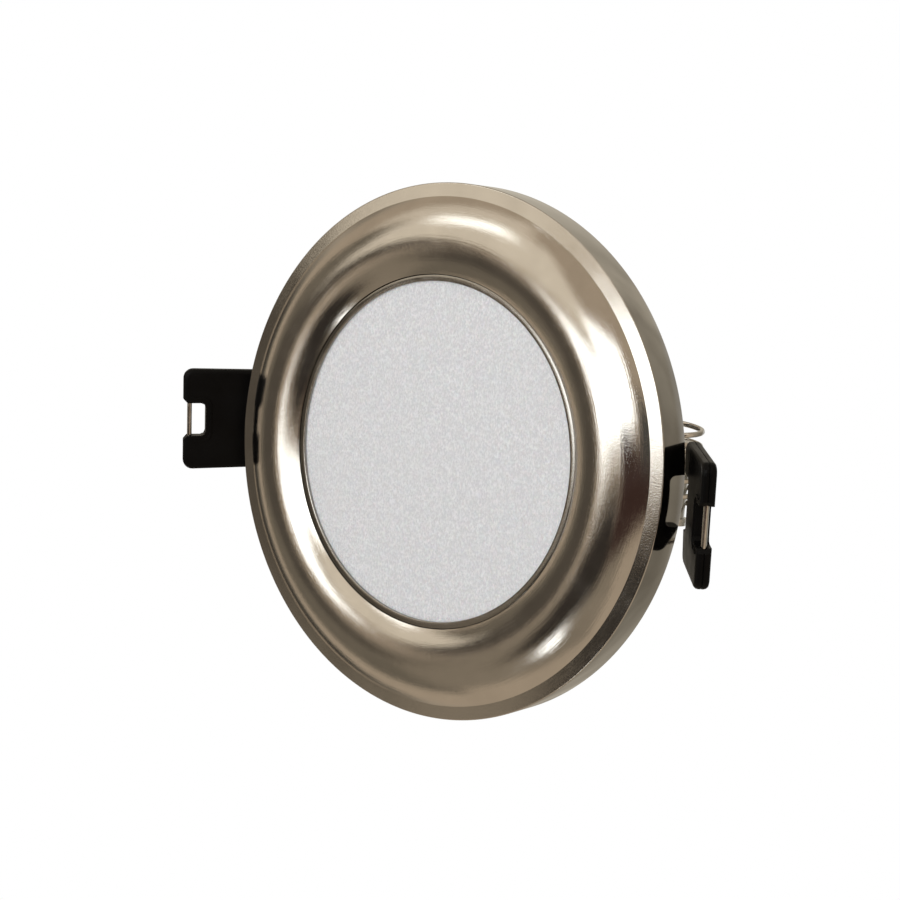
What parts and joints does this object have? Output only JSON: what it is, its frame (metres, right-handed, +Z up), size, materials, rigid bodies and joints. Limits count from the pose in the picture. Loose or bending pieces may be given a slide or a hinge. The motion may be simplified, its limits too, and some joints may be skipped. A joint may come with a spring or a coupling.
{
  "type": "soffit downlight",
  "caption": "Round recessed light with a raised trim ring, a flat frosted lens and sprung clips with black paddles at its two sides.",
  "frame": {"origin": "centre of the face that meets the soffit, level with the top of the foam gasket", "axes": "+Z up into the soffit, so the light shines towards -Z; the two clips lie along X"},
  "size_m": [0.1532, 0.122, 0.0413],
  "materials": {
    "satin_nickel": "satin nickel plate, finely turned",
    "frosted_lens": "frosted translucent acrylic",
    "grey_silicone": "silicone",
    "white_reflector": "white moulded reflector",
    "white_board": "white solder mask on an aluminium board",
    "led_package": "yellow phosphor",
    "white_connector": "moulded",
    "thermal_sheet": "soft thermal sheet",
    "cast_aluminium": "die cast, bead blasted",
    "black_foam": "closed-cell foam",
    "black_gland": "moulded nylon",
    "black_rubber": "moulded rubber",
    "zinc_steel": "bright zinc plate",
    "spring_steel": "drawn wire",
    "black_paddle": "fine moulded texture"
  },
  "bodies": {
    "body": {"trim_ring": "satin_nickel", "lens_ring": "satin_nickel", "diffuser": "frosted_lens", "lens_gasket": "grey_silicone", "reflector": "white_reflector", "led_board": "white_board", "leds": "led_package", "board_connector": "white_connector", "board_screws": "zinc_steel", "thermal_pad": "thermal_sheet", "rear_housing": "cast_aluminium", "heat_sink": "cast_aluminium", "trim_screws": "zinc_steel", "flange_gasket": "black_foam", "gland_body": "black_gland", "gland_seal": "black_rubber", "gland_cap": "black_gland", "bracket_screws": "zinc_steel", "left_bracket": "zinc_steel", "right_bracket": "zinc_steel", "left_pin": "zinc_steel", "right_pin": "zinc_steel", "left_spring": "spring_steel", "right_spring": "spring_steel"},
    "left_clip": {"left_paddle": "black_paddle"},
    "right_clip": {"right_paddle": "black_paddle"}
  },
  "joints": [
    {"name": "right_clip_hinge", "type": "hinge", "parent": "body", "child": "right_clip", "pos_m": [0.051, 0, 0.0138], "axis": [0, -1, 0], "range_deg": [0, 140], "stiffness_Nm_per_rad": 0.04, "springref_deg": -57.3, "deforming": ["right_spring"]},
    {"name": "left_clip_hinge", "type": "hinge", "parent": "body", "child": "left_clip", "pos_m": [-0.051, 0, 0.0138], "axis": [0, 1, 0], "range_deg": [0, 140], "stiffness_Nm_per_rad": 0.04, "springref_deg": -57.3, "deforming": ["left_spring"]}
  ]
}
